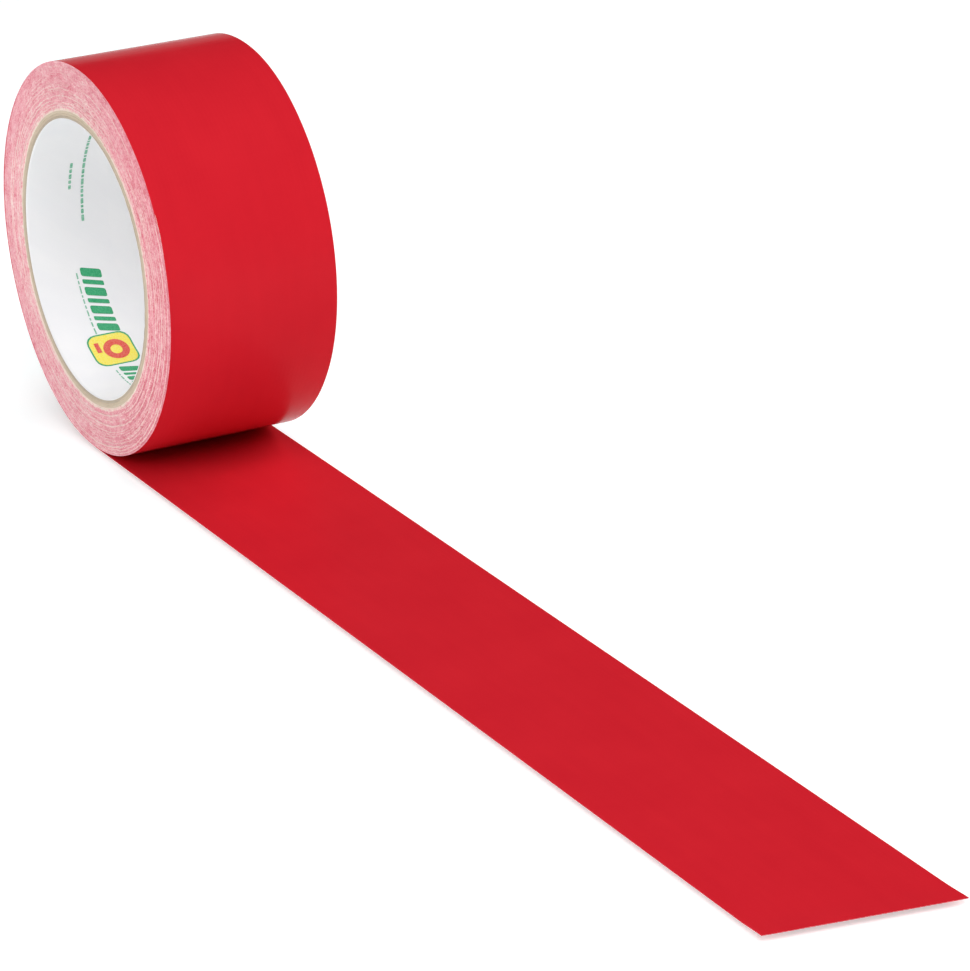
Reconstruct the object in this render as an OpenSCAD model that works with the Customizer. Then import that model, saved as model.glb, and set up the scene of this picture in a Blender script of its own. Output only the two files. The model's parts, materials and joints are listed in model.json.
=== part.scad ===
// A roll of cloth-backed tape standing on its edge, with a tail of tape paid out along the surface.
// The origin is the middle of the core's bore. +Y runs along the bore, +X along the tail, +Z is up.

/* [Core] */
// Bore of the core, a standard 3 inch tube
core_bore_d = 76.2; // [70:0.1:82]
// Length of the core, which stands a little proud of the tape on both sides
core_len = 49; // [24:0.5:76]
// Thickness of the paper liner inside the core
liner_t = 0.2; // [0.1:0.05:0.5]
// Thickness of one ply of the paperboard core
ply_t = 0.67; // [0.4:0.01:1]

/* [Tape] */
// Width of the tape
tape_w = 48; // [24:1:72]
// Diameter over the outermost turn
roll_d = 107.4; // [100:0.1:150]
// Thickness of the polyethylene film
film_t = 0.08; // [0.06:0.01:0.12]
// Thickness of the scrim cloth
scrim_t = 0.05; // [0.04:0.01:0.1]
// Thickness of the adhesive
adhesive_t = 0.08; // [0.06:0.01:0.12]

/* [Tail] */
// Length of the paid-out tape from the roll's lowest line to its cut end, along its middle
tail_len = 348.6; // [200:0.1:500]
// How much longer one edge of the tail is than the other, because the cut is not square
cut_skew = 7.8; // [0:0.1:15]
// Length of the free end that is picked up to start pulling
end_len = 90; // [40:1:150]

/* [Hidden] */
$fn = 180;

tape_t = film_t + scrim_t + adhesive_t;
roll_r = roll_d / 2;
floor_z = -roll_r;

// Clearance between the turning roll and the outermost turn, which stays still while tape feeds through it
turn_gap = 0.3;
// Gap where the strip is divided between two bodies
seam_gap = 0.1;

liner_r = core_bore_d / 2 + liner_t;
core_r = liner_r + 3 * ply_t;
pack_r = roll_r - 2 * tape_t - turn_gap;
band_t = (pack_r - core_r) / 3;

// How far each layer lies from the tape's outer face. The film is outside on the roll, so it is
// underneath on the tail, and the adhesive is on top.
film_at = 0;
scrim_at = film_t;
adhesive_at = film_t + scrim_t;

hinge_x = tail_len - end_len;
near_len = tail_len - cut_skew / 2;
far_len = tail_len + cut_skew / 2;

film_red = [0.79, 0.10, 0.14];
adhesive_red = [0.72, 0.12, 0.16];
scrim_white = [0.93, 0.90, 0.87];
wound_pink = [0.90, 0.62, 0.64];
kraft = [0.76, 0.68, 0.56];
liner_white = [0.95, 0.95, 0.94];

// A tube along Y whose inside radius, wall and length are given
module tube(inner_r, wall, length, angle_from = 0, angle = 360) {
    rotate([90, 0, 0])
        rotate([0, 0, angle_from])
            rotate_extrude(angle = angle)
                translate([inner_r, -length / 2])
                    square([wall, length]);
}

// One layer of the outermost turn. Two half rings with centres half a thickness apart make the spiral:
// it leaves the tail at the lowest line, climbs on the -X side and comes down on the +X side one
// thickness nearer to the core.
module turn_layer(depth, thickness) {
    inner_r = roll_r - tape_t / 4 - depth - thickness;
    union() {
        translate([0, 0, -tape_t / 4])
            tube(inner_r, thickness, tape_w, 90, 180);
        translate([0, 0, tape_t / 4])
            tube(inner_r - tape_t / 2, thickness, tape_w, -90, 180);
    }
}

// One layer of the flat tail, from the roll to the free end
module tail_layer(depth, thickness) {
    translate([seam_gap, -tape_w / 2, floor_z + depth])
        cube([hinge_x - 2 * seam_gap, tape_w, thickness]);
}

// One layer of the free end, whose cut runs slightly askew
module end_layer(depth, thickness) {
    translate([0, 0, floor_z + depth])
        linear_extrude(thickness)
            polygon([
                [hinge_x, -tape_w / 2],
                [near_len, -tape_w / 2],
                [far_len, tape_w / 2],
                [hinge_x, tape_w / 2]
            ]);
}

module core_liner() { color(liner_white) tube(core_bore_d / 2, liner_t, core_len); }
module core_inner_ply() { color(kraft) tube(liner_r, ply_t, core_len); }
module core_middle_ply() { color(kraft * 0.95) tube(liner_r + ply_t, ply_t, core_len); }
module core_outer_ply() { color(kraft * 0.9) tube(liner_r + 2 * ply_t, ply_t, core_len); }

module wound_inner_turns() { color(wound_pink * 1.05) tube(core_r, band_t, tape_w); }
module wound_middle_turns() { color(wound_pink) tube(core_r + band_t, band_t, tape_w); }
module wound_outer_turns() { color(wound_pink * 0.95) tube(core_r + 2 * band_t, band_t, tape_w); }

module outer_turn_film() { color(film_red) turn_layer(film_at, film_t); }
module outer_turn_scrim() { color(scrim_white) turn_layer(scrim_at, scrim_t); }
module outer_turn_adhesive() { color(adhesive_red) turn_layer(adhesive_at, adhesive_t); }

module tail_film() { color(film_red) tail_layer(film_at, film_t); }
module tail_scrim() { color(scrim_white) tail_layer(scrim_at, scrim_t); }
module tail_adhesive() { color(adhesive_red) tail_layer(adhesive_at, adhesive_t); }

module end_film() { color(film_red) end_layer(film_at, film_t); }
module end_scrim() { color(scrim_white) end_layer(scrim_at, scrim_t); }
module end_adhesive() { color(adhesive_red) end_layer(adhesive_at, adhesive_t); }

core_liner();
core_inner_ply();
core_middle_ply();
core_outer_ply();
wound_inner_turns();
wound_middle_turns();
wound_outer_turns();
outer_turn_film();
outer_turn_scrim();
outer_turn_adhesive();
tail_film();
tail_scrim();
tail_adhesive();
end_film();
end_scrim();
end_adhesive();
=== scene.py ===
"""Looks for a roll of red cloth tape standing on its edge, with a tail of tape laid out from under it.

Lengths are in metres. +Y runs along the core, +X along the tail and +Z is up, as in the CAD frame.
Angles on the roll are measured from +X towards +Z.
"""
import json
import math

import bpy
import numpy as np
from mathutils import Matrix, Vector


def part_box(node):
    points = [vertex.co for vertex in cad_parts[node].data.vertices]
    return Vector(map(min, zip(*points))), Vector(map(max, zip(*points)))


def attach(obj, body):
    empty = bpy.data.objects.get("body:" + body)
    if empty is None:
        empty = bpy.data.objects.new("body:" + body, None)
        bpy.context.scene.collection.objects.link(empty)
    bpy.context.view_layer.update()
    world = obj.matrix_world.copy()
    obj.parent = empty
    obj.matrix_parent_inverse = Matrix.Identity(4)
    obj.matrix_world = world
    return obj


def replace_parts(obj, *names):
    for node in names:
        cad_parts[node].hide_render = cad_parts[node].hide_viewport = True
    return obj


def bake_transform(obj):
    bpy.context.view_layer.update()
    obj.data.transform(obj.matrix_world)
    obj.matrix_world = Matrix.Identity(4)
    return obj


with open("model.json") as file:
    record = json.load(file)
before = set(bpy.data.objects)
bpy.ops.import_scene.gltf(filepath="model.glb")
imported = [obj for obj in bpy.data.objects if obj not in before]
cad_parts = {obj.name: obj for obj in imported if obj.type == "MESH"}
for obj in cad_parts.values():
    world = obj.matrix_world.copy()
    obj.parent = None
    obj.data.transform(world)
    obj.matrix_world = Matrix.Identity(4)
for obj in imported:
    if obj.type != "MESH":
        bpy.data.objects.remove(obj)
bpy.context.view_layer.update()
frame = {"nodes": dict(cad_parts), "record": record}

MM = 0.001
RANDOM = np.random.default_rng(11)

# ---------------------------------------------------------------- sizes, all from the frame


def low(node):
    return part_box(node)[0]


def high(node):
    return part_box(node)[1]


MOUNTS = {m["name"]: m for m in frame["record"]["mounts"]}
BORE_R = MOUNTS["core_bore"]["dims"]["r_mm"] * MM
LINER_R = high("core_liner").x
CORE_R = high("core_outer_ply").x
ROLL_R = -low("tail_film").z
HALF_W = high("tail_film").y
CORE_HALF = high("core_liner").y
FILM_T = high("tail_film").z - low("tail_film").z
SCRIM_T = high("tail_scrim").z - low("tail_scrim").z
ADHESIVE_T = high("tail_adhesive").z - low("tail_adhesive").z
TAPE_T = FILM_T + SCRIM_T + ADHESIVE_T
HINGE_X = low("end_film").x
END_BEND = 130 * MM  # a bend length for the lifted end, which add_flat_tape does not use
FAR_CUT_X = high("end_film").x
NEAR_CUT_X = max(v.co.x for v in frame["nodes"]["end_film"].data.vertices if v.co.y < 0)

# The turning pack fills the space inside the outermost turn
PACK_R = ROLL_R - 2 * TAPE_T - 0.03 * MM
TURNS = round((PACK_R - CORE_R) / TAPE_T)
PITCH = (PACK_R - CORE_R) / TURNS

FULL_TURN = 2 * math.pi
COLUMNS = 480  # round the roll
COLUMN_ANGLES = FULL_TURN * np.arange(COLUMNS) / COLUMNS
SHARP_ANGLE = math.radians(62)
YARN_GAP = 1.27 * MM  # between the scrim's lengthwise yarns, 20 to the inch
PER_MM = 1 / MM

# Lights are soft squares: direction from the roll, size and power in watts
LIGHT_DISTANCE = 1.6
LIGHTS = {
    "front_high": ((0.8, -0.3, 1.1), 1.2, 15.2),
    "near_low": ((0.1, -1.0, 0.4), 1.0, 9.3),
    "far_side": ((0.0, 1.0, 0.7), 1.2, 16.8),
    "back_left": ((-1.0, -0.1, 0.8), 1.2, 2.0),
}
SKY = 0.03
BACKDROP = 0.5
BACKDROP_TOP = math.radians(12)
BACKDROP_SOFTNESS = 0.04
FLOOR_SIZE = 6.0
NEAR_FLOOR = (0.975, 0.745, 0.745)
NEAR_GLOW = (0.28, 0.54, 0.54)
FAR_FLOOR = (0.9, 0.9, 0.9)
FLOOR_BLEND = (0.6, 1.6)  # metres from the roll between which the near floor gives way to the far one
FLOOR_GAP = 1.2 * MM  # the tape bears on a few high spots, so a soft shadow shows all along it

# ---------------------------------------------------------------- helpers for meshes


def smooth_noise(rows, cols, row_length, col_length):
    """Noise that repeats at its edges, with a spread of 1 and blobs of that many rows and columns."""
    white = np.fft.fft2(RANDOM.standard_normal((rows, cols)))
    fr = np.fft.fftfreq(rows)[:, None] * row_length
    fc = np.fft.fftfreq(cols)[None, :] * col_length
    field = np.fft.ifft2(white * np.exp(-5 * (fr**2 + fc**2))).real
    field -= field.mean()
    return field / field.std()


def smoothstep(x, start, end):
    t = np.clip((x - start) / (end - start), 0, 1)
    return t * t * (3 - 2 * t)


def mesh_piece(name, points, faces, uvs, materials, material_index=None):
    """A mesh object. faces is a list of arrays of corner indices, and uvs has one array of corner UVs for
    each of them."""
    mesh = bpy.data.meshes.new(name)
    corners = [f for block in faces for f in block.tolist()]
    mesh.from_pydata(points.reshape(-1, 3).tolist(), [], corners)
    layer = mesh.uv_layers.new(name="strip_mm")
    flat = np.concatenate([u.reshape(-1, 2) for u in uvs])
    layer.data.foreach_set("uv", flat.astype(np.float32).ravel())
    for m in materials:
        mesh.materials.append(m)
    if material_index is not None:
        mesh.polygons.foreach_set("material_index", material_index)
    mesh.shade_smooth()
    mesh.set_sharp_from_angle(angle=SHARP_ANGLE)
    piece = bpy.data.objects.new(name, mesh)
    bpy.context.scene.collection.objects.link(piece)
    return piece


def grid_faces(rows, cols, close_rows=False, close_cols=False):
    """(corner indices, corner rows, corner columns) of the quads of a grid. The rows and columns don't
    wrap round."""
    r = np.arange(rows if close_rows else rows - 1)
    c = np.arange(cols if close_cols else cols - 1)
    r, c = (a.ravel() for a in np.meshgrid(r, c, indexing="ij"))
    corner_rows = np.stack([r, r, r + 1, r + 1], 1)
    corner_cols = np.stack([c, c + 1, c + 1, c], 1)
    return (corner_rows % rows) * cols + corner_cols % cols, corner_rows, corner_cols


def on_ring(radius, across, angle):
    """Points at that radius and angle round the core, and that place along Y."""
    return np.stack(np.broadcast_arrays(radius * np.cos(angle), across, radius * np.sin(angle)), -1)


def ring_piece(name, radius, across, material, shades=None):
    """A closed ring. radius and across are arrays of (points of the section, COLUMNS), and the section is a
    closed loop. shades holds named numbers, one for each point, that the material reads."""
    rows, cols = radius.shape
    points = on_ring(radius, across, COLUMN_ANGLES)
    faces, corner_rows, corner_cols = grid_faces(rows, cols, True, True)
    along = corner_cols * (FULL_TURN / cols) * radius.mean() / MM
    uv = np.stack([along, across[:, 0][corner_rows % rows] / MM], -1)
    piece = mesh_piece(name, points, [faces[:, ::-1]], [uv[:, ::-1]], [material])
    for shade, values in (shades or {}).items():
        layer = piece.data.attributes.new(shade, "FLOAT", "POINT")
        layer.data.foreach_set("value", values.astype(np.float32).ravel())
    return piece


def slab_faces(rows, cols):
    """(lower faces, upper faces, walls, corner rows and columns) of a closed slab between two grids of
    points. The lower grid's points come first."""
    quads, corner_rows, corner_cols = grid_faces(rows, cols)
    count = rows * cols
    rim = np.concatenate(
        [
            np.arange(cols),
            np.arange(1, rows) * cols + cols - 1,
            (rows - 1) * cols + np.arange(cols - 2, -1, -1),
            np.arange(rows - 2, 0, -1) * cols,
        ]
    )
    after = np.roll(rim, -1)
    walls = np.stack([rim, after, after + count, rim + count], 1)
    return quads[:, ::-1], quads + count, walls, (corner_rows, corner_cols)


def slab_piece(name, lower, upper, along, across, face_material, edge_material):
    """A closed slab between two grids of points, both (rows across, columns along, 3).
    along and across give each grid point's place on the unrolled tape."""
    lower_faces, upper_faces, walls, corners = slab_faces(*lower.shape[:2])
    uv_grid = np.stack(np.broadcast_arrays(along / MM, across / MM), -1)
    face_uv = uv_grid[corners]
    flat_uv = uv_grid.reshape(-1, 2)
    wall_uv = flat_uv[walls % len(flat_uv)]
    points = np.concatenate([lower.reshape(-1, 3), upper.reshape(-1, 3)])
    index = np.concatenate([np.zeros(2 * len(upper_faces), int), np.ones(len(walls), int)])
    return mesh_piece(
        name,
        points,
        [lower_faces, upper_faces, walls],
        [face_uv[:, ::-1], face_uv, wall_uv],
        [face_material, edge_material],
        index,
    )


ASKEW = (0.3, 0.2, 0.93)  # a direction that no tube runs in


def tubes_piece(name, paths, radii, material, sides=5):
    """Many thin tapered tubes as one piece. paths is (tubes, points, 3) and radii (tubes, points)."""
    count, length = paths.shape[:2]
    run = np.gradient(paths, axis=1)
    run /= np.linalg.norm(run, axis=2, keepdims=True)
    side = np.cross(run, ASKEW)
    side /= np.linalg.norm(side, axis=2, keepdims=True)
    up = np.cross(run, side)
    turn = FULL_TURN * np.arange(sides) / sides
    ring = side[:, :, None] * np.cos(turn)[:, None] + up[:, :, None] * np.sin(turn)[:, None]
    points = paths[:, :, None] + ring * radii[:, :, None, None]
    quads, corner_rows, corner_cols = grid_faces(length, sides, False, True)
    ends = np.array([np.arange(sides), (length - 1) * sides + np.arange(sides)[::-1]])
    step = np.arange(count)[:, None, None] * (length * sides)
    uv = np.stack([corner_rows, corner_cols], -1).astype(float)
    return mesh_piece(
        name,
        points,
        [(quads[None] + step).reshape(-1, 4), (ends[None] + step).reshape(-1, sides)],
        [np.tile(uv, (count, 1, 1)), np.zeros((2 * count, sides, 2))],
        [material],
    )


# ---------------------------------------------------------------- helpers for materials


SIDES_APART = 400.0  # shifts the far side's noise, so that it doesn't repeat the near side's


class Shader:
    """A node-based material around one Principled shader."""

    def __init__(self, name, **sockets):
        self.material = bpy.data.materials.new(name)
        self.material.use_nodes = True
        self.tree = self.material.node_tree
        self.bsdf = self.tree.nodes["Principled BSDF"]
        for socket, value in sockets.items():
            self.bsdf.inputs[socket.replace("_", " ")].default_value = value

    def add(self, kind, inputs=None, **settings):
        node = self.tree.nodes.new("ShaderNode" + kind)
        for setting, value in settings.items():
            setattr(node, setting, value)
        for socket, value in (inputs or {}).items():
            if isinstance(value, bpy.types.NodeSocket):
                self.tree.links.new(value, node.inputs[socket])
            else:
                node.inputs[socket].default_value = value
        return node

    def math(self, operation, a, b=0.0):
        return self.add("Math", {0: a, 1: b}, operation=operation).outputs[0]

    def ramp(self, value, *stops):
        """A colour ramp. Each stop is (position, colour)."""
        node = self.add("ValToRGB", {"Fac": value})
        elements = node.color_ramp.elements
        while len(elements) < len(stops):
            elements.new(0.5)
        for element, (position, colour) in zip(elements, stops):
            element.position = position
            element.color = (*colour, 1)
        return node.outputs["Color"]

    def blend(self, a, b, share):
        """a and b added, with a counting for that share and b for the rest."""
        return self.math("ADD", self.math("MULTIPLY", a, share), self.math("MULTIPLY", b, 1 - share))

    def range(self, value, from_min, from_max, to_min=0.0, to_max=1.0):
        inputs = {"Value": value, "From Min": from_min, "From Max": from_max}
        inputs.update({"To Min": to_min, "To Max": to_max})
        return self.add("MapRange", inputs, interpolation_type="SMOOTHSTEP").outputs["Result"]

    def noise(self, vector, scale, detail=3.0, roughness=0.5):
        inputs = {"Vector": vector, "Scale": scale, "Detail": detail, "Roughness": roughness}
        return self.add("TexNoise", inputs).outputs["Fac"]

    def mix(self, factor, a, b):
        node = self.add("Mix", data_type="RGBA")
        for socket, value in ((0, factor), (6, a), (7, b)):
            if isinstance(value, bpy.types.NodeSocket):
                self.tree.links.new(value, node.inputs[socket])
            else:
                node.inputs[socket].default_value = value if socket == 0 else (*value, 1)
        return node.outputs[2]

    def strip_place(self):
        """(vector, along, across): where a point lies on the unrolled tape, in millimetres."""
        uv = self.add("UVMap", uv_map="strip_mm").outputs["UV"]
        parts = self.add("SeparateXYZ", {"Vector": uv})
        return uv, parts.outputs["X"], parts.outputs["Y"]

    def ring_place(self, along_stretch):
        """(vector, radius): a seamless place on a ring, in millimetres, whose detail is drawn out along
        the turn."""
        point, across = self.object_place()
        in_plane = (PER_MM, 0, PER_MM)
        flat = self.add("VectorMath", {0: point, 1: in_plane}, operation="MULTIPLY").outputs["Vector"]
        radius = self.add("VectorMath", {0: flat}, operation="LENGTH").outputs["Value"]
        unit = self.add("VectorMath", {0: flat}, operation="NORMALIZE").outputs["Vector"]
        mean_radius = (CORE_R + ROLL_R) / 2 * PER_MM
        around = self.add("VectorMath", {0: unit, "Scale": mean_radius / along_stretch}, operation="SCALE")
        side = self.math("MULTIPLY", self.math("SIGN", across), SIDES_APART)
        shift = self.add("CombineXYZ", {"Y": self.math("ADD", radius, side)}).outputs["Vector"]
        place = self.add("VectorMath", {0: around.outputs["Vector"], 1: shift}, operation="ADD")
        return place.outputs["Vector"], radius

    def object_place(self):
        """(vector, across): the point in metres, and its place along Y."""
        point = self.add("TexCoord").outputs["Object"]
        return point, self.add("SeparateXYZ", {"Vector": point}).outputs["Y"]

    def link(self, socket, shader_input):
        self.tree.links.new(socket, self.bsdf.inputs[shader_input])

    def colour(self, socket):
        self.link(socket, "Base Color")

    def roughness(self, socket):
        self.link(socket, "Roughness")

    def bump(self, height, depth, previous=None):
        """Bump whose height socket runs over 0 to 1 for depth metres."""
        inputs = {"Height": height, "Distance": depth, "Strength": 1.0}
        if previous is not None:
            inputs["Normal"] = previous
        normal = self.add("Bump", inputs).outputs["Normal"]
        self.tree.links.new(normal, self.bsdf.inputs["Normal"])
        return normal


def weave_height(shader, along, across):
    """How the scrim's yarns press through a tape face, from 0 to 1: close warp yarns along the tape, and
    open weft yarns across it."""
    gap = YARN_GAP / MM
    warp = shader.math("COSINE", shader.math("MULTIPLY", across, 2 * math.pi / gap))
    weft = shader.math("COSINE", shader.math("MULTIPLY", along, math.pi / gap))
    lines = shader.math("ADD", shader.math("MULTIPLY", warp, 0.3), shader.math("MULTIPLY", weft, 0.2))
    return shader.math("ADD", lines, 0.5)


def tape_face_material(name, base, deep, weave_depth):
    """The glossy red face of the tape."""
    s = Shader(name, Specular_IOR_Level=0.028)
    vector, along, across = s.strip_place()
    clouds = s.noise(vector, 0.045, 4)
    stretched = s.add("Mapping", {"Vector": vector, "Scale": (0.03, 0.3, 1)}).outputs["Vector"]
    streaks = s.noise(stretched, 1.0, 1)
    s.colour(s.ramp(s.blend(clouds, streaks, 0.7), (0.3, deep), (0.7, base)))
    grain = s.noise(vector, 3.5, 4, 0.65)
    s.roughness(s.range(s.math("ADD", clouds, grain), 0.6, 1.4, 0.17, 0.25))
    s.bump(grain, 0.004 * MM, s.bump(weave_height(s, along, across), weave_depth))
    return s.material


def cut_edge_material(name):
    """The slit edges of many turns: white cotton and adhesive between thin lines of red film."""
    s = Shader(name, Roughness=0.85, Specular_IOR_Level=0.2)
    place, radius = s.ring_place(1.35)
    fine_place, _ = s.ring_place(1.6)
    blotch = s.noise(place, 0.45, 4, 0.6)
    grain = s.noise(fine_place, 2.5, 4, 0.75)
    outwards = s.range(radius, CORE_R / MM, ROLL_R / MM)
    tone = s.math("SUBTRACT", s.blend(blotch, grain, 0.42), s.math("MULTIPLY", outwards, 0.03))
    # The side's tone is set by place along X: a little lighter in its middle, darker and redder towards the
    # tail, and a little darker away from it.
    to_tail = s.add("SeparateXYZ", {"Vector": s.add("TexCoord").outputs["Object"]}).outputs["X"]
    tone_towards_tail = s.range(to_tail, 5 * MM, 45 * MM, 0.03, -0.055)
    tone_away_from_tail = s.range(to_tail, -45 * MM, -10 * MM, -0.025, 0.0)
    tone = s.math("ADD", tone, s.math("ADD", tone_towards_tail, tone_away_from_tail))
    colour = s.ramp(
        tone,
        (0.37, (0.73, 0.21, 0.26)),
        (0.45, (0.83, 0.355, 0.41)),
        (0.53, (0.88, 0.455, 0.505)),
        (0.64, (0.95, 0.73, 0.71)),
    )
    proud = s.add("Attribute", attribute_name="proud").outputs["Fac"]
    cotton = s.range(s.math("ADD", proud, s.math("MULTIPLY", grain, 0.9)), 0.98, 1.25)
    colour = s.mix(s.math("MULTIPLY", cotton, 0.65), colour, (0.94, 0.80, 0.74))
    groove = s.add("Attribute", attribute_name="groove").outputs["Fac"]
    film_seen = s.range(s.noise(fine_place, 1.3, 4, 0.7), 0.45, 0.62)
    film_line = s.math("MULTIPLY", groove, s.math("MULTIPLY", film_seen, 0.55))
    colour = s.mix(film_line, colour, (0.62, 0.06, 0.10))
    smear = s.range(s.noise(place, 1.5, 4, 0.7), 0.57, 0.68)
    colour = s.mix(s.math("MULTIPLY", smear, 0.5), colour, (0.70, 0.15, 0.21))
    edge_of_core = s.math("SUBTRACT", radius, s.math("MULTIPLY", s.noise(place, 0.9, 3), 2.4))
    first_turns = s.range(edge_of_core, CORE_R / MM - 1.0, CORE_R / MM - 0.1, 1, 0)
    s.colour(s.mix(s.math("MULTIPLY", first_turns, 0.8), colour, (0.90, 0.81, 0.70)))
    s.bump(grain, 0.10 * MM)
    return s.material


def kraft_material(name, base, deep):
    """Grey-brown paperboard with short fibres."""
    s = Shader(name, Roughness=0.85, Specular_IOR_Level=0.2)
    place, _ = s.ring_place(4.0)
    fibres = s.noise(place, 2.6, 5, 0.7)
    blotch = s.noise(place, 0.25, 2)
    s.colour(s.ramp(s.blend(fibres, blotch, 0.6), (0.32, deep), (0.68, base)))
    s.bump(fibres, 0.06 * MM)
    return s.material


def liner_material():
    """Coated white paper."""
    s = Shader("liner_paper", Specular_IOR_Level=0.4)
    place, _ = s.ring_place(1.0)
    across = s.math("MULTIPLY", s.object_place()[1], PER_MM)
    shift = s.add("CombineXYZ", {"Z": across}).outputs["Vector"]
    spread = s.add("VectorMath", {0: place, 1: shift}, operation="ADD").outputs["Vector"]
    clouds = s.noise(spread, 0.12, 3)
    fibres = s.noise(spread, 2.8, 5, 0.7)
    tint = s.blend(clouds, fibres, 0.75)
    s.colour(s.ramp(tint, (0.3, (0.845, 0.836, 0.855)), (0.7, (0.88, 0.866, 0.873))))
    s.roughness(s.range(fibres, 0.35, 0.65, 0.42, 0.55))
    s.bump(fibres, 0.012 * MM)
    return s.material


def ink_material(name, base, worn):
    """Printing ink, a little uneven where the paper's fibres show through."""
    s = Shader(name, Roughness=0.5, Specular_IOR_Level=0.4)
    point = s.add("TexCoord").outputs["Object"]
    grain = s.noise(point, 2200.0, 4, 0.65)
    s.colour(s.ramp(grain, (0.38, base), (0.72, worn)))
    return s.material


def yarn_material():
    """Bleached cotton yarn, here and there tinted by the adhesive."""
    s = Shader("cotton_yarn", Roughness=0.9, Specular_IOR_Level=0.15)
    point = s.add("TexCoord").outputs["Object"]
    tint = s.noise(point, 260.0, 3)
    twist = s.noise(point, 3800.0, 3, 0.7)
    s.colour(s.ramp(tint, (0.38, (0.93, 0.84, 0.78)), (0.66, (0.90, 0.58, 0.58))))
    s.bump(twist, 0.02 * MM)
    return s.material


def floor_material():
    """The plain white floor. Near the roll its faint glow is cyan, to balance the red that the tape throws
    on it, and far away it turns as bright as the backdrop."""
    s = Shader("floor", Roughness=0.9, Specular_IOR_Level=0.0, Emission_Strength=1.0)
    point = s.add("TexCoord").outputs["Object"]
    distance = s.add("VectorMath", {0: point}, operation="LENGTH").outputs["Value"]
    far = s.range(distance, *FLOOR_BLEND)
    s.colour(s.mix(far, NEAR_FLOOR, FAR_FLOOR))
    glow = s.mix(far, NEAR_GLOW, (BACKDROP, BACKDROP, BACKDROP))
    s.link(glow, "Emission Color")
    return s.material


RED = (0.66, 0.0165, 0.028)
DEEP_RED = (0.62, 0.0145, 0.026)
MATERIALS = {
    "film": tape_face_material("red_film", RED, DEEP_RED, 0.010 * MM),
    "top": tape_face_material("red_tail_face", RED, DEEP_RED, 0.012 * MM),
    "cut_edge": cut_edge_material("cut_turn_edges"),
    # The inner ply is coloured darker than the other two: partly its own tone, partly painted shade for the
    # gap between the core and the liner.
    "ply_inner_shaded": kraft_material("kraft_inner_with_painted_shade", (0.54, 0.45, 0.355), (0.44, 0.355, 0.275)),
    "ply_middle": kraft_material("kraft_middle", (0.64, 0.525, 0.40), (0.54, 0.43, 0.32)),
    "ply_outer": kraft_material("kraft_outer", (0.68, 0.565, 0.44), (0.56, 0.45, 0.34)),
    "liner": liner_material(),
    "green": ink_material("green_ink", (0.02, 0.33, 0.13), (0.07, 0.42, 0.21)),
    "pale_green": ink_material("fine_green_ink", (0.11, 0.42, 0.25), (0.40, 0.62, 0.50)),
    "yellow": ink_material("yellow_ink", (0.90, 0.74, 0.05), (0.90, 0.80, 0.25)),
    "red": ink_material("red_ink", (0.72, 0.055, 0.04), (0.76, 0.20, 0.15)),
    "yarn": yarn_material(),
}

# ---------------------------------------------------------------- the core and its liner


WALL_POINTS = 12  # in a ring section, along its inner and its outer wall


def ring_section(inner_r, outer_r, half, round_by, steps):
    """The closed section of a ring as (radius, across) pairs, with rounded rims and that many points
    across each edge."""
    across_edge = np.linspace(0, 1, steps)
    bulge = round_by * (1 - np.abs(2 * across_edge - 1) ** 3)
    radii = inner_r + (outer_r - inner_r) * across_edge
    near = [(r, -half + round_by - b) for r, b in zip(radii, bulge)]
    wall = np.linspace(-half, half, WALL_POINTS + 2)[1:-1]
    outer = [(outer_r, y) for y in wall]
    far = [(r, -y) for r, y in reversed(near)]
    inner = [(inner_r, -y) for y in wall]
    return np.array(near + outer + far + inner)


PLY_T = (CORE_R - LINER_R) / 3


def add_ply(node, material, recess):
    """One ply of the core. Its cut edge is fibrous, and not quite in line with its neighbours."""
    outer_r = high(node).x
    section = ring_section(outer_r - PLY_T, outer_r, CORE_HALF - recess, 0.05 * MM, 8)
    radius = np.repeat(section[:, :1], COLUMNS, 1)
    across = np.repeat(section[:, 1:], COLUMNS, 1)
    rough = 0.035 * MM * smooth_noise(len(section), COLUMNS, 1, 3)
    rough += 0.05 * MM * smooth_noise(1, COLUMNS, 1, 40)
    at_edge = np.abs(across) > CORE_HALF - recess - 0.06 * MM
    across = across + at_edge * np.sign(across) * (rough - 0.05 * MM)
    piece = ring_piece(node + "_board", radius, across, material)
    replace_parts(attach(piece, "roll"), node)


add_ply("core_inner_ply", MATERIALS["ply_inner_shaded"], 0.03 * MM)
add_ply("core_middle_ply", MATERIALS["ply_middle"], 0.01 * MM)
add_ply("core_outer_ply", MATERIALS["ply_outer"], 0.04 * MM)

SEAM_PITCH = 150 * MM  # how far the liner's spiral seam travels in one turn
SEAM_ANGLE = math.radians(5)


def add_liner():
    """The printed paper inside the core, wound as one spiral strip whose edge shows as a faint step."""
    section = ring_section(BORE_R, LINER_R, CORE_HALF - 0.12 * MM, 0.05 * MM, 4)
    inner_rows = np.linspace(CORE_HALF, -CORE_HALF, 50)[1:-1]
    inner_wall = np.stack([np.full_like(inner_rows, BORE_R), inner_rows], 1)
    outline = np.concatenate([section[:-WALL_POINTS], inner_wall])
    radius = np.repeat(outline[:, :1], COLUMNS, 1)
    across = np.repeat(outline[:, 1:], COLUMNS, 1)
    turn = ((COLUMN_ANGLES - SEAM_ANGLE) / FULL_TURN - across / SEAM_PITCH) % 1
    inside = radius < (BORE_R + LINER_R) / 2
    step = 0.09 * MM * (1 - smoothstep(turn, 0, 0.03)) * smoothstep(turn, -0.001, 0.003)
    wave = 0.02 * MM * smooth_noise(len(outline), COLUMNS, 20, 60)
    radius = radius + inside * (step + wave)
    piece = ring_piece("core_liner_paper", radius, across, MATERIALS["liner"])
    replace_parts(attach(piece, "roll"), "core_liner")


add_liner()

# ---------------------------------------------------------------- generic printing on the liner


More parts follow.
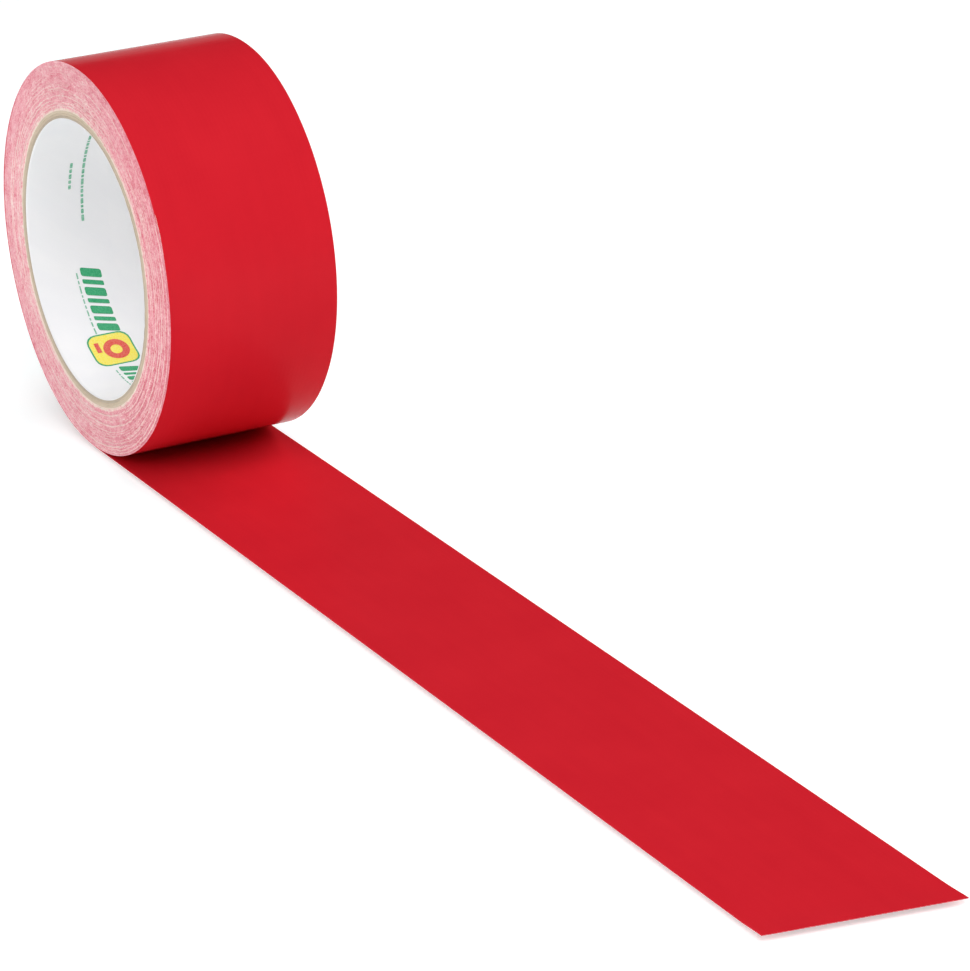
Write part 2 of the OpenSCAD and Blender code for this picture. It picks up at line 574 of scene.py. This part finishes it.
def liner_points(angles, across, lift):
    """Points on the liner's inside at those angles, in degrees, and places along Y."""
    return on_ring(BORE_R - lift, across, np.radians(angles))


INK_T = 0.02 * MM
DEGREES_PER_MM = math.degrees(MM / BORE_R)


def bar(start, end, low_y, high_y, slant=0.0, corner=0.25, lift=0.03 * MM):
    """(upper, lower) grids of a bar with round corners, made of stations along the liner's curve. start and
    end are in degrees, and slant is how far the far side leads the near side, in millimetres."""
    length = (end - start) / DEGREES_PER_MM
    height = (high_y - low_y) / MM
    round_by = corner * min(length, height)
    turn = np.linspace(0, math.pi / 2, 5)
    rise = round_by * (1 - np.cos(turn))
    middle = np.linspace(round_by, length - round_by, max(2, math.ceil(length / 1.5)))[1:-1]
    stations = np.concatenate([rise, middle, length - rise[::-1]])
    corner_inset = round_by * (1 - np.sin(turn))
    inset = np.interp(stations, rise, corner_inset)
    inset = np.maximum(inset, np.interp(length - stations, rise, corner_inset))
    share = np.linspace(0, 1, 3)[:, None]
    across = inset + (height - 2 * inset) * share
    angles = start + DEGREES_PER_MM * (stations + slant * (across / height - 0.5))
    place = low_y + across * MM
    return liner_points(angles, place, lift), liner_points(angles, place, lift - INK_T)


def printed_ring(angle, centre_y, inner, outer, lift):
    """(upper, lower) grids of a ring round a centre on the liner. The radii are in millimetres."""
    turn = np.linspace(FULL_TURN, 0, 33)[None, :]
    r = np.linspace(inner, outer, 4)[:, None]
    angles = angle + r * np.cos(turn) * DEGREES_PER_MM
    place = centre_y + r * np.sin(turn) * MM
    return liner_points(angles, place, lift), liner_points(angles, place, lift - INK_T)


def print_piece(name, shapes, material):
    """All shapes of one colour as one piece."""
    points, faces, total = [], [], 0
    for upper, lower in shapes:
        points += [lower.reshape(-1, 3), upper.reshape(-1, 3)]
        lower_faces, upper_faces, walls, _ = slab_faces(*upper.shape[:2])
        faces += [block + total for block in (lower_faces, upper_faces, walls)]
        total += 2 * upper.shape[0] * upper.shape[1]
    uvs = [np.zeros((*f.shape, 2)) for f in faces]
    piece = mesh_piece(name, np.concatenate(points), faces, uvs, [material])
    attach(piece, "roll")


def bar_row(start, end, low_y, high_y, lengths, gap=0.7, slant=0.0):
    """A row of bars between two angles, with lengths in proportion to those given."""
    scale = (end - start) / (sum(lengths) + gap * (len(lengths) - 1))
    shapes, at = [], start
    for length in lengths:
        shapes.append(bar(at, at + length * scale, low_y, high_y, slant))
        at += (length + gap) * scale
    return shapes


# Lengths of the dashes and bars, which stand for lines of small and large print
FINE_PRINT = [2, 1.2, 2.6, 0.8, 1.6, 1.2, 2.2, 1, 1.8, 2.4]
SHORT_PRINT = [2, 1.4, 1.8, 1.2, 1.5]
LARGE_PRINT = [1.5, 0.8, 1.5, 0.8, 1.5, 0.8, 1.5]
print_piece(
    "liner_print_fine",
    bar_row(136, 184, -8.1 * MM, -7.3 * MM, FINE_PRINT + FINE_PRINT, 0.5)
    + bar_row(156, 169, -11.9 * MM, -11.1 * MM, SHORT_PRINT, 0.5)
    + bar_row(-155, -127, -12.2 * MM, -11.8 * MM, FINE_PRINT, 0.6)
    + bar_row(-105, -80, -12.6 * MM, -12.2 * MM, FINE_PRINT, 0.6),
    MATERIALS["pale_green"],
)
print_piece(
    "liner_print_green",
    bar_row(-156, -127.5, -10.8 * MM, -4.8 * MM, LARGE_PRINT, 0.55, 1.5)
    + bar_row(-106, -78, -11.2 * MM, -5.6 * MM, LARGE_PRINT, 0.55, 1.5),
    MATERIALS["green"],
)

# A plain picture of a roll of tape: a ring with a short tail, on a rounded rectangle with a dark rim
BADGE_ANGLE = -117.5
BADGE_LOW_Y = -15.6 * MM
BADGE_HIGH_Y = -3.6 * MM
BADGE_TURN = 8.4
RIM = 0.45 * MM
RIM_TURN = RIM / MM * DEGREES_PER_MM


def badge(grow, lift):
    """The badge's rounded rectangle, larger by grow rims all round."""
    return bar(
        BADGE_ANGLE - BADGE_TURN - grow * RIM_TURN,
        BADGE_ANGLE + BADGE_TURN + grow * RIM_TURN,
        BADGE_LOW_Y - grow * RIM,
        BADGE_HIGH_Y + grow * RIM,
        lift=lift,
    )


print_piece("liner_print_badge_rim", [badge(1, 0.03 * MM)], MATERIALS["green"])
print_piece("liner_print_yellow", [badge(0, 0.055 * MM)], MATERIALS["yellow"])
print_piece(
    "liner_print_red",
    [
        printed_ring(BADGE_ANGLE, -8.6 * MM, 1.7, 3.7, 0.08 * MM),
        bar(BADGE_ANGLE - 5.0, BADGE_ANGLE + 0.4, -14.2 * MM, -12.9 * MM, 0.0, 0.1, 0.082 * MM),
    ],
    MATERIALS["red"],
)

# ---------------------------------------------------------------- the turns still wound on the core

ROWS_PER_TURN = 4
NEATEST_ANGLE = math.radians(130)
BANDS = {"wound_inner_turns": 0, "wound_middle_turns": 1, "wound_outer_turns": 2}


def turn_shift():
    """How far each turn's slit edge stands out, as (turns, columns). The turns were wound a little
    unevenly: a few stand proud of their neighbours, and the outer ones are the neatest at the top left."""
    place = (np.arange(TURNS)[:, None] + 0.5) / TURNS
    neat = smoothstep(place, 0.45, 0.7) * (0.55 + 0.45 * np.cos(COLUMN_ANGLES - NEATEST_ANGLE))
    single = smooth_noise(TURNS, COLUMNS, 0.7, 34)
    single = np.sign(single) * np.abs(single) ** 1.5
    groups = smooth_noise(TURNS, COLUMNS, 2.4, 60)
    dish = smooth_noise(TURNS, COLUMNS, 12, 200)
    nicks = smooth_noise(TURNS, COLUMNS, 0.6, 1.5)
    uneven = (0.04 * single + 0.045 * groups + 0.02 * nicks) * (1 - 0.72 * neat)
    coned = np.interp(place, (0, 0.5, 1), (0.45, 0.36, 0.27))
    return MM * (coned + np.clip(uneven + 0.03 * dish, -0.24, 0.26))


def add_wound_turns():
    """The pack of turns as three rings, with each turn's slit edge a ridge of its own on both sides."""
    shifts = {side: turn_shift() for side in (-1, 1)}
    ridge = MM * np.array([-0.075, 0.0, 0.014, -0.004])
    all_rows = TURNS * ROWS_PER_TURN + 1
    row_r = CORE_R + PITCH * np.arange(all_rows) / ROWS_PER_TURN
    held = smoothstep(row_r, CORE_R, CORE_R + MM) * (1 - smoothstep(row_r, PACK_R - 0.8 * MM, PACK_R))
    ripple = 0.075 * MM * smooth_noise(all_rows, COLUMNS, 16, 3) * held[:, None]
    for node, band in BANDS.items():
        first = round(TURNS * band / len(BANDS))
        last = round(TURNS * (band + 1) / len(BANDS))
        rows = np.arange(first * ROWS_PER_TURN, last * ROWS_PER_TURN + 1)
        turn = np.minimum(rows // ROWS_PER_TURN, TURNS - 1)
        part = rows % ROWS_PER_TURN
        r = row_r[rows][:, None] + ripple[rows]
        across, proud = {}, {}
        for side, shift in shifts.items():
            before = shift[np.maximum(turn - 1, 0)]
            out = np.where(part[:, None] == 0, np.minimum(shift[turn], before), shift[turn])
            across[side] = side * (HALF_W + out + ridge[part][:, None])
            around = (shift[np.maximum(turn - 2, 0)] + shift[np.minimum(turn + 2, TURNS - 1)]) / 2
            proud[side] = np.clip(0.5 + (shift[turn] - around) / (0.3 * MM), 0, 1)
        groove = np.where(part == 0, 1.0, np.where(part == 3, 0.4, 0.0))[:, None] * np.ones(COLUMNS)
        piece = ring_piece(
            node + "_edges",
            np.concatenate([r, r[::-1]]),
            np.concatenate([across[-1], across[1][::-1]]),
            MATERIALS["cut_edge"],
            {
                "groove": np.concatenate([groove, groove[::-1]]),
                "proud": np.concatenate([proud[-1], proud[1][::-1]]),
            },
        )
        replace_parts(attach(piece, "roll"), node)
    return shifts


SHIFTS = add_wound_turns()

# ---------------------------------------------------------------- the tape that is seen whole

ACROSS = HALF_W * np.sin(np.linspace(-math.pi / 2, math.pi / 2, 37))
LAYERS = {"film": (0.0, FILM_T), "scrim": (FILM_T, SCRIM_T), "adhesive": (FILM_T + SCRIM_T, ADHESIVE_T)}
LOOSE_BY = 0.2 * MM  # how far the outermost turn stands off where it is loose
NICK_TURN = 250  # degrees round from the nip, where its near edge is nicked and frayed
NICK_LIFT = 0.32 * MM


def looseness(turned, across):
    """How far the outermost turn bulges. It lifts sharply at the near edge, where it is nicked, and softly
    at the far one."""
    to_far = (across + HALF_W) / (2 * HALF_W)
    rise = smoothstep(turned, math.radians(244) - 0.16 * to_far, math.radians(247) + 0.10 * to_far)
    fall = 1 - smoothstep(turned, math.radians(262), math.radians(306))
    nick = np.exp(-(((turned - math.radians(NICK_TURN)) / 0.055) ** 2)) * (1 - smoothstep(to_far, 0, 0.1))
    return LOOSE_BY * rise * fall * (1 - 0.35 * to_far) + NICK_LIFT * nick


def add_outer_turn():
    """The outermost turn, from the nip round the back and over the top to where it dives under the tail's
    start."""
    count = COLUMNS + 1
    turned = np.linspace(0, FULL_TURN, count)[None, :]
    across = ACROSS[:, None]
    first_half = turned <= math.pi
    centre_z = np.where(first_half, -TAPE_T / 4, TAPE_T / 4)
    outside_r = ROLL_R - np.where(first_half, 1, 3) * TAPE_T / 4
    hold = smoothstep(turned, 0, 0.3) * (1 - smoothstep(turned, FULL_TURN - 0.5, FULL_TURN))
    lumps = 0.03 * MM * smooth_noise(len(ACROSS), count, 18, 14) * hold
    bulge = looseness(turned, across) + np.minimum(lumps, 0.0) + 0.02 * MM * hold
    slip = 0.04 * MM * smooth_noise(1, count, 1, 60) * hold

    def face(depth, loose):
        r = outside_r - depth + loose
        y = across * (1 + hold * 0.2 * MM / HALF_W) + slip + 0 * r
        return np.stack([-r * np.sin(turned), y, centre_z - r * np.cos(turned)], -1)

    along = -turned * ROLL_R
    # The adhesive reaches down to the pack, so that no gap shows under the lap
    lap = PACK_R + 0.03 * MM - (outside_r - TAPE_T) + 0 * across
    for layer, (depth, thickness) in LAYERS.items():
        lower = face(depth + thickness, lap if layer == "adhesive" else bulge)
        upper = face(depth, bulge)
        piece = slab_piece(
            "outer_turn_" + layer + "_layer",
            lower[:, ::-1],
            upper[:, ::-1],
            (along + 0 * across)[:, ::-1],
            (across + 0 * along),
            MATERIALS["film"],
            MATERIALS["cut_edge"],
        )
        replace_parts(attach(piece, "outer_turn"), "outer_turn_" + layer)


def cut_x(across):
    """Where the tail is cut, at that place across it."""
    return NEAR_CUT_X + (FAR_CUT_X - NEAR_CUT_X) * (across + HALF_W) / (2 * HALF_W)


WAVES = smooth_noise(64, 64, 10, 9)
WAVE_CELLS_ALONG = 40
WAVE_CELLS_ACROSS = 12


def tail_lift(x, across):
    """How far the laid tape stands off the floor: slight waves, curled edges and a curled end."""
    grid_x = np.clip(x / FAR_CUT_X, 0, 1) * WAVE_CELLS_ALONG
    grid_y = (across + HALF_W) / (2 * HALF_W) * WAVE_CELLS_ACROSS
    ix, iy = np.floor(grid_x).astype(int), np.floor(grid_y).astype(int)
    fx, fy = smoothstep(grid_x - ix, 0, 1), smoothstep(grid_y - iy, 0, 1)
    near = WAVES[iy, ix] * (1 - fx) + WAVES[iy, ix + 1] * fx
    far = WAVES[iy + 1, ix] * (1 - fx) + WAVES[iy + 1, ix + 1] * fx
    waves = 0.02 * MM * np.clip(near * (1 - fy) + far * fy + 1, 0, 3)
    from_edge = HALF_W - np.abs(across)
    edges = 0.05 * MM * (1 - smoothstep(from_edge, 0, 5 * MM)) ** 2
    to_cut = cut_x(across) - x
    end = 0.3 * MM * (1 - smoothstep(to_cut, 0, 12 * MM)) ** 2
    started = smoothstep(x, 4 * MM, 40 * MM)
    return (waves + edges) * started + end


def add_flat_tape(body, x, y, bodies, bend_start, bend_end, flat_length):
    """One stretch of the laid tape as three layers."""
    lift = tail_lift(x, y)
    for layer, (depth, thickness) in LAYERS.items():
        lower = np.stack([x, y, lift - ROLL_R + depth], -1)
        upper = np.stack([x, y, lift - ROLL_R + depth + thickness], -1)
        edge = MATERIALS["cut_edge"] if layer == "scrim" else MATERIALS["top"]
        piece = slab_piece(body + "_" + layer + "_layer", lower, upper, x, y, MATERIALS["top"], edge)
        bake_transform(piece)
        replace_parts(piece, body + "_" + layer)


add_outer_turn()
Y_GRID = ACROSS[:, None]
TAIL_X = np.linspace(0, HINGE_X, 190)[None, :]
TAIL_GRID = np.broadcast_arrays(TAIL_X, Y_GRID)
add_flat_tape("tail", *TAIL_GRID, ("outer_turn", "tail"), 0.0, HINGE_X - 4 * MM, HINGE_X)
END_X = HINGE_X + np.linspace(0, 1, 70)[None, :] * (cut_x(Y_GRID) - HINGE_X)
END_GRID = np.broadcast_arrays(END_X, Y_GRID)
END_LENGTH = (NEAR_CUT_X + FAR_CUT_X) / 2 - HINGE_X
add_flat_tape("end", *END_GRID, ("tail", "free_end"), HINGE_X, HINGE_X + END_BEND, END_LENGTH)

# ---------------------------------------------------------------- loose cotton

SIDE_NAMES = {-1: "near", 1: "far"}


def random_lengths(least, most, count):
    """One random length for each of count threads, between those in millimetres."""
    return MM * RANDOM.uniform(least, most, (count, 1))


def edge_out(side, radius, angle):
    """How far out the wound turns' edge is there."""
    turn = np.clip(((radius - CORE_R) / PITCH).astype(int), 0, TURNS - 1)
    column = (np.degrees(angle) % 360 / 360 * COLUMNS).astype(int) % COLUMNS
    return HALF_W + SHIFTS[side][turn, column]


def add_side_threads(side, count):
    """Scrim threads pulled along the turns as the tape was slit, lying on the side of the roll."""
    points = 14
    t = np.linspace(0, 1, points)[None, :]
    depth = RANDOM.random((count, 1)) ** 1.5
    start_r = CORE_R + 0.4 * MM + depth * (PACK_R - CORE_R - 0.9 * MM)
    length = MM * (2 + 9 * RANDOM.random((count, 1)) ** 2)
    start = FULL_TURN * RANDOM.random((count, 1))
    drift = MM * RANDOM.normal(0, 0.16, (count, 1)) * t
    wiggle = MM * 0.05 * np.sin(t * RANDOM.uniform(4, 14, (count, 1)) + start * 9)
    r = np.clip(start_r + drift + wiggle, CORE_R + 0.2 * MM, PACK_R - 0.2 * MM)
    angle = start + length / start_r * t
    lifted = random_lengths(0, 0.25, count) * np.abs(2 * t - 1) ** 5
    y = side * (edge_out(side, r, angle) + 0.015 * MM + lifted)
    paths = on_ring(r, y, angle)
    thick = random_lengths(0.035, 0.07, count) * (1 - 0.7 * np.abs(2 * t - 1) ** 4)
    piece = tubes_piece(SIDE_NAMES[side] + "_side_threads", paths, thick, MATERIALS["yarn"])
    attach(piece, "roll")


def add_nick_threads(count):
    """Scrim threads frayed out of the outermost turn's near edge at the nick."""
    t = np.linspace(0, 1, 12)[None, :]
    start = np.radians(270 - NICK_TURN + RANDOM.uniform(-3, 9, (count, 1)))
    angle = start - random_lengths(2, 6, count) / ROLL_R * t
    bow = np.sin(math.pi * t)
    r = ROLL_R - random_lengths(-0.15, 0.3, count) + random_lengths(0, 0.25, count) * bow
    y = -HALF_W - random_lengths(0.03, 0.12, count) - random_lengths(0, 0.2, count) * bow
    paths = on_ring(r, y, angle)
    thick = 0.05 * MM * (1 - 0.6 * np.abs(2 * t - 1) ** 4) * np.ones((count, 1))
    piece = tubes_piece("nick_threads", paths, thick, MATERIALS["yarn"])
    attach(piece, "outer_turn")


def add_side_fuzz(side, count):
    """Short cotton fibres that stand up from the slit edges."""
    t = np.linspace(0, 1, 4)[None, :]
    r = CORE_R + (PACK_R - CORE_R) * RANDOM.random((count, 1))
    angle = FULL_TURN * RANDOM.random((count, 1))
    reach = random_lengths(0.12, 0.42, count)
    lean = MM * RANDOM.normal(0, 0.35, (count, 1))
    bent = angle + lean / r * t**2
    y = side * (edge_out(side, r, angle) - 0.03 * MM + reach * t)
    radius = r + MM * RANDOM.normal(0, 0.1, (count, 1)) * t
    paths = on_ring(radius, y, bent)
    thick = 0.02 * MM * (1 - 0.6 * t) * np.ones((count, 1))
    piece = tubes_piece(SIDE_NAMES[side] + "_side_fuzz", paths, thick, MATERIALS["yarn"], sides=3)
    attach(piece, "roll")


def add_cut_yarns():
    """The scrim's lengthwise yarns, which stand a little proud of the cut end."""
    count = int(2 * HALF_W / YARN_GAP)
    across = (np.arange(count) - (count - 1) / 2)[:, None] * YARN_GAP
    t = np.linspace(0, 1, 5)[None, :]
    reach = random_lengths(0.1, 0.55, count)
    x = cut_x(across) - 0.3 * MM + (0.3 * MM + reach) * t
    y = across + MM * RANDOM.normal(0, 0.08, (count, 1)) * t**2
    z = tail_lift(cut_x(across), across) - ROLL_R + FILM_T + SCRIM_T / 2 + 0 * t
    thick = 0.045 * MM * (1 - 0.5 * t) * np.ones((count, 1))
    piece = tubes_piece("cut_end_yarns", np.stack([x, y, z], -1), thick, MATERIALS["yarn"], sides=6)
    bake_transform(piece)


for SIDE in (-1, 1):
    add_side_threads(SIDE, 130)
    add_side_fuzz(SIDE, 900)
add_cut_yarns()
add_nick_threads(9)

# ---------------------------------------------------------------- floor, light and camera


def add_floor():
    bpy.ops.mesh.primitive_plane_add(size=FLOOR_SIZE, location=(0, 0, -ROLL_R - FLOOR_GAP))
    floor = bpy.context.object
    floor.name = "floor"
    floor.data.materials.append(floor_material())


LIT_POINT = Vector((0.1, 0, 0))


def add_area(name, towards, size, power):
    """A square soft light in direction towards from the roll."""
    light = bpy.data.lights.new(name, "AREA")
    light.size = size
    light.energy = power
    holder = bpy.data.objects.new(name, light)
    direction = Vector(towards).normalized()
    holder.location = direction * LIGHT_DISTANCE + LIT_POINT
    holder.rotation_euler = direction.to_track_quat("Z", "Y").to_euler()
    bpy.context.scene.collection.objects.link(holder)


def add_world():
    """A dim sky over a white backdrop that rises a little above the horizon all round."""
    world = bpy.data.worlds.new("world")
    world.use_nodes = True
    tree = world.node_tree
    direction = tree.nodes.new("ShaderNodeTexCoord").outputs["Generated"]
    parts = tree.nodes.new("ShaderNodeSeparateXYZ")
    ranges = tree.nodes.new("ShaderNodeMapRange")
    ranges.interpolation_type = "SMOOTHSTEP"
    top = math.sin(BACKDROP_TOP)
    ranges.inputs["From Min"].default_value = top - BACKDROP_SOFTNESS
    ranges.inputs["From Max"].default_value = top + BACKDROP_SOFTNESS
    ranges.inputs["To Min"].default_value = BACKDROP
    ranges.inputs["To Max"].default_value = SKY
    tree.links.new(direction, parts.inputs["Vector"])
    tree.links.new(parts.outputs["Z"], ranges.inputs["Value"])
    background = tree.nodes["Background"]
    background.inputs["Color"].default_value = (1, 1, 1, 1)
    tree.links.new(ranges.outputs["Result"], background.inputs["Strength"])
    bpy.context.scene.world = world


AZIMUTH = math.radians(61.93)
ELEVATION = math.radians(21.45)
TILT = math.radians(-1.39)
DISTANCE = 1.3488
AIM = Vector((49.0, 69.3, -67.9)) * MM
SENSOR = 36.0
LENS = 183.5


def add_camera():
    back = Vector(
        (
            math.sin(AZIMUTH) * math.cos(ELEVATION),
            -math.cos(AZIMUTH) * math.cos(ELEVATION),
            math.sin(ELEVATION),
        )
    )
    right = Vector((0, 0, 1)).cross(back).normalized()
    up = back.cross(right)
    turned_right = right * math.cos(TILT) + up * math.sin(TILT)
    turned_up = up * math.cos(TILT) - right * math.sin(TILT)
    data = bpy.data.cameras.new("camera")
    data.lens = LENS
    data.sensor_width = SENSOR
    data.clip_start = 0.05
    data.clip_end = 20
    camera = bpy.data.objects.new("camera", data)
    axes = Matrix((turned_right, turned_up, back)).transposed().to_4x4()
    camera.matrix_world = Matrix.Translation(AIM + back * DISTANCE) @ axes
    bpy.context.scene.collection.objects.link(camera)
    bpy.context.scene.camera = camera


add_floor()
add_world()
for NAME, SETTINGS in LIGHTS.items():
    add_area(NAME, *SETTINGS)
add_camera()
bpy.context.scene.view_settings.view_transform = "Standard"
